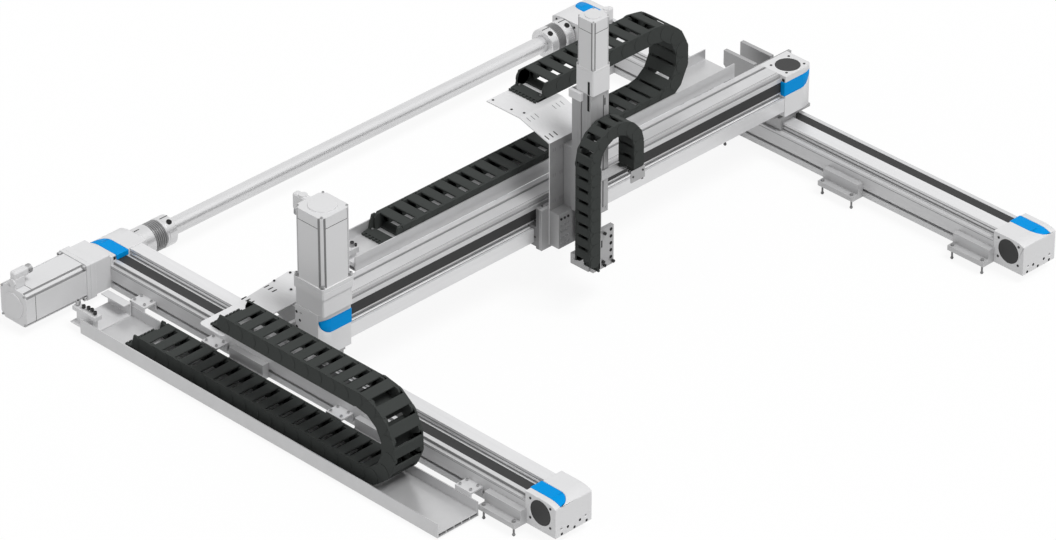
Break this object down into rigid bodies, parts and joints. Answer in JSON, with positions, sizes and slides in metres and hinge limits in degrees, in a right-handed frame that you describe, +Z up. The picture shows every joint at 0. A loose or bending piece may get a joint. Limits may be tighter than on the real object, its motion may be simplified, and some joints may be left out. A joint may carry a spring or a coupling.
{
  "type": "gantry robot",
  "caption": "Cartesian gantry robot: a motor-driven cross beam slides on two parallel belt axes and carries a vertical tool slide, with energy chains and trays.",
  "frame": {"origin": "centre of the overall box's base, level with the tips of the levelling feet", "axes": "+X along the two lower axes from their drive ends to their idler ends, +Y along the cross beam away from the lower axes' motor, +Z up"},
  "size_m": [1.658, 2.044, 0.808],
  "materials": {
    "anodised_aluminium": "matt anodised",
    "bright_aluminium": "turned, satin",
    "cap_grey": "fine satin paint",
    "motor_grey": "satin paint",
    "rail_steel": "ground steel",
    "zinc_steel": "bright zinc",
    "belt_rubber": "matt",
    "blue_plastic": "semi-gloss",
    "dark_plastic": "matt",
    "chain_plastic": "fine matt"
  },
  "bodies": {
    "base": {"x_profiles": "anodised_aluminium", "x_guide_rails": "rail_steel", "x_belts": "belt_rubber", "x_end_caps": "cap_grey", "x_belt_covers": "blue_plastic", "x_bearings": "rail_steel", "x_bearing_covers": "dark_plastic", "x_coupling_housing": "cap_grey", "x_motor": "motor_grey", "support_blocks": "anodised_aluminium", "levelling_feet": "zinc_steel", "x_tray_brackets": "anodised_aluminium", "x_cable_clamp": "anodised_aluminium", "x_cable_tray": "anodised_aluminium", "x_chain_fixed_end": "chain_plastic", "x_chain_fixed_run": "chain_plastic"},
    "x_drive": {"x_drive_pulleys": "zinc_steel", "shaft_couplings": "bright_aluminium", "connecting_shaft": "bright_aluminium"},
    "x_idlers": {"x_idler_pulleys": "zinc_steel"},
    "x_loop_lower": {"x_chain_turn_lower": "chain_plastic"},
    "beam": {"y_profile": "anodised_aluminium", "y_guide_rail": "rail_steel", "y_belt": "belt_rubber", "y_end_caps": "cap_grey", "y_belt_covers": "blue_plastic", "y_bearings": "rail_steel", "y_bearing_covers": "dark_plastic", "y_coupling_housing": "cap_grey", "y_motor": "motor_grey", "x_carriages": "anodised_aluminium", "beam_brackets": "anodised_aluminium", "y_cable_tray": "anodised_aluminium", "y_tray_brackets": "anodised_aluminium", "x_chain_plate": "anodised_aluminium", "x_chain_moving_run": "chain_plastic", "y_chain_fixed_end": "chain_plastic", "y_chain_fixed_run": "chain_plastic"},
    "x_loop_upper": {"x_chain_turn_upper": "chain_plastic"},
    "y_drive": {"y_drive_pulley": "zinc_steel"},
    "y_idler": {"y_idler_pulley": "zinc_steel"},
    "y_loop_lower": {"y_chain_turn_lower": "chain_plastic"},
    "z_unit": {"y_carriage": "anodised_aluminium", "z_mounting_plates": "anodised_aluminium", "z_body": "anodised_aluminium", "z_coupling_housing": "cap_grey", "z_motor": "motor_grey", "y_chain_plate": "anodised_aluminium", "y_chain_moving_run": "chain_plastic", "z_chain_bracket": "zinc_steel", "z_chain_fixed_run": "chain_plastic"},
    "y_loop_upper": {"y_chain_turn_upper": "chain_plastic"},
    "z_screw": {"z_screw": "rail_steel"},
    "z_loop_lower": {"z_chain_turn_lower": "chain_plastic"},
    "z_slide": {"z_slide_bar": "rail_steel", "z_yoke": "anodised_aluminium", "z_tool_plate": "anodised_aluminium", "z_chain_arm": "zinc_steel", "z_chain_moving_run": "chain_plastic"},
    "z_loop_upper": {"z_chain_turn_upper": "chain_plastic"}
  },
  "joints": [
    {"name": "x_travel", "type": "slide", "parent": "base", "child": "beam", "axis": [1, 0, 0], "range_m": [-0.5, 0.58]},
    {"name": "x_drive_turn", "type": "hinge", "parent": "base", "child": "x_drive", "pos_m": [-0.777, 0.139, 0.075], "axis": [0, 1, 0], "range_deg": [-1300, 1500]},
    {"name": "x_idler_turn", "type": "hinge", "parent": "base", "child": "x_idlers", "pos_m": [0.779, 0.139, 0.075], "axis": [0, 1, 0], "range_deg": [-1300, 1500]},
    {"name": "x_loop_lower_slide", "type": "slide", "parent": "base", "child": "x_loop_lower", "axis": [1, 0, 0], "range_m": [-0.25, 0.29], "deforming": ["x_chain_fixed_run", "x_chain_turn_lower"]},
    {"name": "x_loop_upper_slide", "type": "slide", "parent": "beam", "child": "x_loop_upper", "axis": [1, 0, 0], "range_m": [-0.29, 0.25], "deforming": ["x_chain_moving_run", "x_chain_turn_upper"]},
    {"name": "y_travel", "type": "slide", "parent": "beam", "child": "z_unit", "axis": [0, 1, 0], "range_m": [-0.58, 0.52]},
    {"name": "y_drive_turn", "type": "hinge", "parent": "beam", "child": "y_drive", "pos_m": [-0.026, -0.674, 0.203], "axis": [0, 0, 1], "range_deg": [-1500, 1350]},
    {"name": "y_idler_turn", "type": "hinge", "parent": "beam", "child": "y_idler", "pos_m": [-0.026, 0.952, 0.203], "axis": [0, 0, 1], "range_deg": [-1500, 1350]},
    {"name": "y_loop_lower_slide", "type": "slide", "parent": "beam", "child": "y_loop_lower", "axis": [0, 1, 0], "range_m": [-0.29, 0.26], "deforming": ["y_chain_fixed_run", "y_chain_turn_lower"]},
    {"name": "y_loop_upper_slide", "type": "slide", "parent": "z_unit", "child": "y_loop_upper", "axis": [0, 1, 0], "range_m": [-0.26, 0.29], "deforming": ["y_chain_moving_run", "y_chain_turn_upper"]},
    {"name": "z_travel", "type": "slide", "parent": "z_unit", "child": "z_slide", "axis": [0, 0, -1], "range_m": [-0.11, 0.1]},
    {"name": "z_screw_turn", "type": "hinge", "parent": "z_unit", "child": "z_screw", "pos_m": [0.1153, 0.098, 0.425], "axis": [0, 0, 1], "range_deg": [-2000, 1820]},
    {"name": "z_loop_lower_slide", "type": "slide", "parent": "z_unit", "child": "z_loop_lower", "axis": [0, 0, -1], "range_m": [-0.055, 0.05], "deforming": ["z_chain_fixed_run", "z_chain_turn_lower"]},
    {"name": "z_loop_upper_slide", "type": "slide", "parent": "z_slide", "child": "z_loop_upper", "axis": [0, 0, -1], "range_m": [-0.05, 0.055], "deforming": ["z_chain_moving_run", "z_chain_turn_upper"]}
  ],
  "couplings": [
    {"joint": "x_drive_turn", "follows": "x_travel", "rad_per_m": 43.956},
    {"joint": "x_idler_turn", "follows": "x_travel", "rad_per_m": 43.956},
    {"joint": "x_loop_lower_slide", "follows": "x_travel", "ratio": 0.5},
    {"joint": "x_loop_upper_slide", "follows": "x_travel", "ratio": -0.5},
    {"joint": "y_drive_turn", "follows": "y_travel", "rad_per_m": 43.956},
    {"joint": "y_idler_turn", "follows": "y_travel", "rad_per_m": 43.956},
    {"joint": "y_loop_lower_slide", "follows": "y_travel", "ratio": 0.5},
    {"joint": "y_loop_upper_slide", "follows": "y_travel", "ratio": -0.5},
    {"joint": "z_screw_turn", "follows": "z_travel", "rad_per_m": 314.16},
    {"joint": "z_loop_lower_slide", "follows": "z_travel", "ratio": 0.5},
    {"joint": "z_loop_upper_slide", "follows": "z_travel", "ratio": -0.5}
  ]
}
